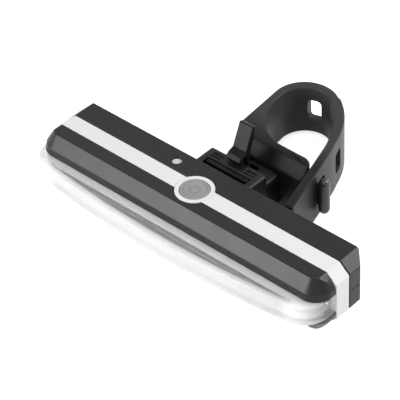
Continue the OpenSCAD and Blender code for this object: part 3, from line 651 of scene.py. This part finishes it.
# %% Build the lens
def lens_outline(inset, front_steps=120, corner_steps=24):
    """Points of the lens's plan in mm, from its right back end round the front to the left one."""
    def bend(centre_x, centre_y, radius, start, sweep, steps):
        angles = [start - sweep * i / steps for i in range(steps + 1)]
        return [(centre_x + radius * math.cos(a), centre_y + radius * math.sin(a)) for a in angles]

    small, large = corner_radius - inset, arc_radius - inset
    return ([(bar_half - inset, back_edge)]
            + bend(corner_x, corner_y, small, 0.0, turn, corner_steps)
            + bend(0.0, arc_centre, large, -turn, math.pi - 2 * turn, front_steps)[1:-1]
            + bend(-corner_x, corner_y, small, turn - math.pi, turn, corner_steps)
            + [(-bar_half + inset, back_edge)])

low, high = middle_z - lens_height / 2, middle_z + lens_height / 2
rim_round, pocket_round = 0.3, 0.25
opening_half, opening_front, opening_back = 38.3, -6.0, 1.0
lens = prism("lens_shell", lens_outline(0), low, high)
round_edges(lens, rim_round, 4)
pocket = prism("lens_pocket", lens_outline(front_wall), low + flat_skin, high - flat_skin)
round_edges(pocket, pocket_round, 3)
carve(lens, [pocket, block("lens_back", -opening_half, opening_front, opening_half, opening_back,
                           0, 2 * middle_z)])
smooth_faces(lens)
coat(lens, lens_clear)
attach(lens, "light")
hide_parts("lens")
print("lens faces:", len(lens.data.polygons))

# %% [markdown]
# The rubber strap with its saddle is one moulding. From above it is a loop: a straight tail, a long
# side, a small round far end, a short leg, and the thick saddle that the post sits in. Each stretch
# is an arc or a straight line, and the two faces of the band lie half its thickness from that line.

# %% Outline of the strap
strap_low, strap_high, half_thick = 0.5, 13.5, 1.0
saddle_front, saddle_depth, saddle_left, saddle_end = 19.0, 4.6, -5.0, 13.3
saddle_back = saddle_front + saddle_depth
left_round, right_round, lobe_radius = 1.5, 1.2, 3.1
loop_x, loop_reach, loop_radius, side_radius, seat_radius = -1.6, 14.0, 6.9, 31.0, 12.0
leg_lean, join_angle, tail_angle, tail_length, leg_length = 5.2, 50.0, 16.3, 20.0, 12.4
leg_swell, side_swell, swell_middle, swell_half = 0.1, 0.6, 40, 16

def sine(angle):
    return math.sin(math.radians(angle))

def cosine(angle):
    return math.cos(math.radians(angle))

def towards(angle):
    return Vector((cosine(angle), sine(angle)))

def arc(centre, radius, start, end, steps):
    return [centre + radius * towards(start + (end - start) * i / steps) for i in range(steps + 1)]

def swell(a):
    """Extra thickness on the outer face, between the two bends and above the saddle."""
    if a > 90:
        return leg_swell * math.sin(math.pi * (a - 90) / (90 + leg_lean))
    near = abs(a - swell_middle) < swell_half
    return side_swell * cosine(90 * (a - swell_middle) / swell_half) if near else 0.0

def outer(centre, radius, start, end, steps):
    angles = [start + (end - start) * i / steps for i in range(steps + 1)]
    return [centre + (radius + half_thick + swell(a)) * towards(a) for a in angles]

loop_centre = Vector((loop_x, saddle_back + loop_reach))
side_centre = loop_centre + (loop_radius - side_radius) * towards(join_angle)
leg_top = side_centre + side_radius * towards(tail_angle)
down = Vector((sine(tail_angle), -cosine(tail_angle)))
seat_y = saddle_back + seat_radius
seat_x = loop_x + (seat_radius - loop_radius + half_thick
                   - (seat_y - loop_centre.y) * sine(leg_lean)) / cosine(leg_lean)
left_foot = (loop_centre + (loop_radius + half_thick) * towards(180 + leg_lean)
             + leg_length * Vector((sine(leg_lean), -cosine(leg_lean))))
tail_end = leg_top + tail_length * down
tail_side = towards(tail_angle)

outer_face = (
    [tail_end - half_thick * tail_side, tail_end + half_thick * tail_side]
    + outer(side_centre, side_radius, tail_angle, join_angle, 50)
    + outer(loop_centre, loop_radius, join_angle, 180 + leg_lean, 80)[1:]
    + [left_foot])
saddle_face = (
    arc(Vector((saddle_left, saddle_front + left_round)), left_round, 200, 270, 8)
    + arc(Vector((saddle_end - right_round, saddle_front + right_round)), right_round, 270, 360, 8)
    + arc(Vector((saddle_end - lobe_radius, saddle_back - lobe_radius)), lobe_radius, 0, 90, 16))
inner_face = (
    arc(Vector((seat_x, seat_y)), seat_radius, 270, 180 + leg_lean, 48)
    + arc(loop_centre, loop_radius - half_thick, 180 + leg_lean, join_angle, 60)[1:]
    + arc(side_centre, side_radius - half_thick, join_angle, tail_angle, 40)[1:])
strap_plan = [(p.x, p.y) for p in outer_face + saddle_face + inner_face]
print("strap outline:", len(strap_plan), "points")

# %% [markdown]
# The holes of the strap are rounded rectangles at an even pitch along the middle of the band. A
# cutter for each one is placed square to the band where it passes through. A wedge cuts the slanted
# top edge of the saddle's front. The rims are rounded more on the inside than on the outside, and
# their widths are evened out along the outline.

# %% Build the strap
hole_height, hole_corner, hole_pitch, free_length, hooked_length = 5.6, 0.9, 10.1, 3.4, 4.6
hole_edge, cutter_half = 0.12, 2.0
neck_half, neck_gap, hook_inset = 0.9, 0.15, 1.7
slope_drop, slope_run, slope_left, beyond = 4.6, 2.6, -20, 1
slope_right, slope_top = saddle_end + 0.1, strap_high + 0.01
outer_rim, saddle_rim, inner_rim, rounds_of_evening = 0.45, 0.6, 0.85, 30

def band_point(s):
    """Point on the middle line, s mm up from the top of the straight leg, and its facing angle."""
    side_length = side_radius * math.radians(join_angle - tail_angle)
    if s < 0:
        return leg_top - s * down, tail_angle
    if s < side_length:
        a = tail_angle + math.degrees(s / side_radius)
        return side_centre + side_radius * towards(a), a
    a = join_angle + math.degrees((s - side_length) / loop_radius)
    return loop_centre + loop_radius * towards(a), a

def hole_cutter(name, s, length):
    outline = []
    for cx, cz, start in ((1, -1, 270), (1, 1, 0), (-1, 1, 90), (-1, -1, 180)):
        centre = Vector((cx * (length / 2 - hole_corner), cz * (hole_height / 2 - hole_corner)))
        outline += arc(centre, hole_corner, start, start + 90, 6)
    made = prism(name, [(p.x, p.y) for p in outline], -cutter_half, cutter_half)
    at, angle = band_point(s)
    quarter = math.radians(90)
    made.matrix_world = (
        Matrix.Translation((at.x * mm, at.y * mm, middle_z * mm))
        @ (Matrix.Rotation(math.radians(angle), 4, "Z") @ Matrix.Rotation(quarter, 4, "X")
           @ Matrix.Rotation(quarter, 4, "Y")))
    return made

strap = prism("strap_band", strap_plan, strap_low, strap_high)
wedge = prism("saddle_slope", [(saddle_front - beyond, strap_high - slope_drop),
                               (saddle_front + slope_run, slope_top),
                               (saddle_front - beyond, strap_high + beyond)],
              slope_left, slope_right)
wedge.matrix_world = Matrix(((0, 0, 1, 0), (1, 0, 0, 0), (0, 1, 0, 0), (0, 0, 0, 1)))
carve(strap, [wedge])

widths = ([outer_rim] * len(outer_face) + [saddle_rim] * len(saddle_face)
          + [inner_rim] * len(inner_face))
for _ in range(rounds_of_evening):
    widths = [(widths[i - 1] + width + widths[(i + 1) % len(widths)]) / 3
              for i, width in enumerate(widths)]
round_rims(strap, strap_plan, widths, 6)

hook_y = saddle_back - hook_inset
hooked = ((hook_y - neck_half - neck_gap - half_thick * sine(tail_angle) - leg_top.y)
          / cosine(tail_angle) + hooked_length / 2)
carve(strap, [hole_cutter("hole_hooked", hooked, hooked_length)]
      + [hole_cutter(f"hole_{i}", hooked + i * hole_pitch, free_length) for i in (1, 2, 3)])
round_edges(strap, hole_edge, 2, clamp=True)
print("strap faces:", len(strap.data.polygons))

# %% [markdown]
# Rubber is dark and matte, with a faint sheen where light grazes it. Behind the saddle the band is
# painted a little lighter, as painted light on the loop, while the saddle stays dark as in shade.

# %% Finish the strap
# Painted light: the band behind the saddle is made lighter where the loop stands in the light.
lighter_loop_from, lighter_loop_to, painted_light_share = 0.022, 0.03, 0.65
painted_light_grey = (0.065, 0.065, 0.066, 1)
strap_rubber, tree, shader = finish_of(
    "strap_rubber", (0.01, 0.01, 0.0103), 0.42, spread=0.15, grain=6000.0, bump=0.3, patches=70.0,
    amount=0.15, gloss=0.12)
painted_light_mix = maths(tree, "MULTIPLY", ramp(tree, along(tree, "Y"), lighter_loop_from, lighter_loop_to),
                painted_light_share)
tree.links.new(blend(tree, painted_light_mix, base_colour(shader), painted_light_grey),
               shader.inputs["Base Color"])
shader.inputs["Sheen Weight"].default_value = 0.05
shader.inputs["Sheen Roughness"].default_value = 0.4
coat(strap, strap_rubber)
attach(strap, "bracket")
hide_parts("rubber_strap")
print("strap on body bracket")

# %% [markdown]
# The tongue of the bracket fills most of the receiver's slot. Its top edge lies just below the
# receiver's top and catches a thin line of light, with a narrow dark gap in front of it.

# %% Build the crest of the tongue
crest_half, crest_front, crest_back, crest_low, crest_high = 5.7, 9.6, 10.75, 10.2, 12.8
crest_round = 0.2
crest = block("tongue_crest", -crest_half, crest_front, crest_half, crest_back,
              crest_low, crest_high)
round_edges(crest, crest_round, 3)
coat(crest, bracket_black)
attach(crest, "bracket")
print("crest top", crest_high, "mm")

# %% [markdown]
# The button is turned round its middle: a cap with a soft rim, a ring pressed into its top, a
# shallow dish, and below the cap the flange and stem that hold it in the bar.

# %% Build the button
def turned(name, profile, steps=96):
    """A closed solid from a profile of radius and height in mm, spun round the upright axis."""
    shape = bmesh.new()
    rings = []
    for r, z in profile:
        angles = [2 * math.pi * i / steps for i in range(steps)] if r > 0 else [0.0]
        rings.append([shape.verts.new((r * math.cos(a) * mm, r * math.sin(a) * mm, z * mm))
                      for a in angles])
    for below, above in zip(rings, rings[1:]):
        for i in range(steps):
            j = (i + 1) % steps
            corners = [below[i % len(below)], below[j % len(below)], above[j % len(above)],
                       above[i % len(above)]]
            shape.faces.new(list(dict.fromkeys(corners)))
    made = new_piece(name, shape)
    smooth_faces(made)
    return made

def curve(centre, top, wide, tall, start, end, steps):
    """Part of an ellipse in a profile, with its angles in degrees."""
    angles = [start + (end - start) * i / steps for i in range(steps + 1)]
    return [(centre + wide * cosine(a), top + tall * sine(a)) for a in angles]

cap = nodes["power_button"]
heights = [(cap.matrix_world @ v.co).z / mm for v in cap.data.vertices]
button_low, button_high = min(heights), max(heights)
button_radius, flange_radius, stem_radius, flange_top, flange_thick = 3.3, 3.9, 1.2, 12.1, 0.8
cap_round, ring_radius, ring_half, ring_depth = 0.25, 2.6, 0.16, 0.1
dish_radius, dish_depth = 2.1, 0.2
button = turned("button_cap", [
    (0, button_low), (stem_radius, button_low), (stem_radius, flange_top - flange_thick),
    (flange_radius, flange_top - flange_thick), (flange_radius, flange_top),
    (button_radius, flange_top)]
    + curve(button_radius - cap_round, button_high - cap_round, cap_round, cap_round, 0, 90, 6)
    + curve(ring_radius, button_high, ring_half, -ring_depth, 0, 180, 9)
    + curve(0, button_high, dish_radius, -dish_depth, 0, 75, 5) + [(0, button_high - dish_depth)])
coat(button, button_grey)
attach(button, "button")
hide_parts("power_button")
print("button from", round(button_low, 2), "to", round(button_high, 2), "mm")

# %% [markdown]
# Four small screws hold the bar together from behind. Each is turned like the button, and a cross
# is cut into its head for the screwdriver. One mesh holds all four copies.

# %% Build the housing screws
shank_radius, head_radius, tip_radius, tip_length = 0.8, 1.6, 0.5, 0.6
screw_tip, head_low, head_high, head_round = -4.6, 6.63, 7.5, 0.3
cross_long, cross_wide, cross_low, cross_high = 0.85, 0.2, 6.95, head_high + 0.2
screw_places = [(x, z) for x in (-30.5, 30.5) for z in (3.4, 10.6)]
screws = turned("screw_set", [
    (0, screw_tip), (tip_radius, screw_tip), (shank_radius, screw_tip + tip_length),
    (shank_radius, head_low), (head_radius, head_low)]
    + curve(head_radius - head_round, head_high - head_round, head_round, head_round, 0, 90, 6)
    + [(0, head_high)], steps=32)
cross = prism("screw_cross", [(a * x, a * y) for a in (1, -1) for x, y in (
    (cross_long, -cross_wide), (cross_long, cross_wide), (cross_wide, cross_wide),
    (cross_wide, cross_long), (-cross_wide, cross_long), (-cross_wide, cross_wide))],
    cross_low, cross_high)
carve(screws, [cross])
four = bmesh.new()
facing_back = Matrix.Rotation(math.radians(-90), 4, "X")
for x, z in screw_places:
    copy = screws.data.copy()
    copy.transform(Matrix.Translation((x * mm, 0, z * mm)) @ facing_back)
    four.from_mesh(copy)
    bpy.data.meshes.remove(copy)
four.to_mesh(screws.data)
four.free()
smooth_faces(screws)
coat(screws, screw_steel)
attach(screws, "light")
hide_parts("housing_screws")
print("screws:", len(screws.data.polygons), "faces")
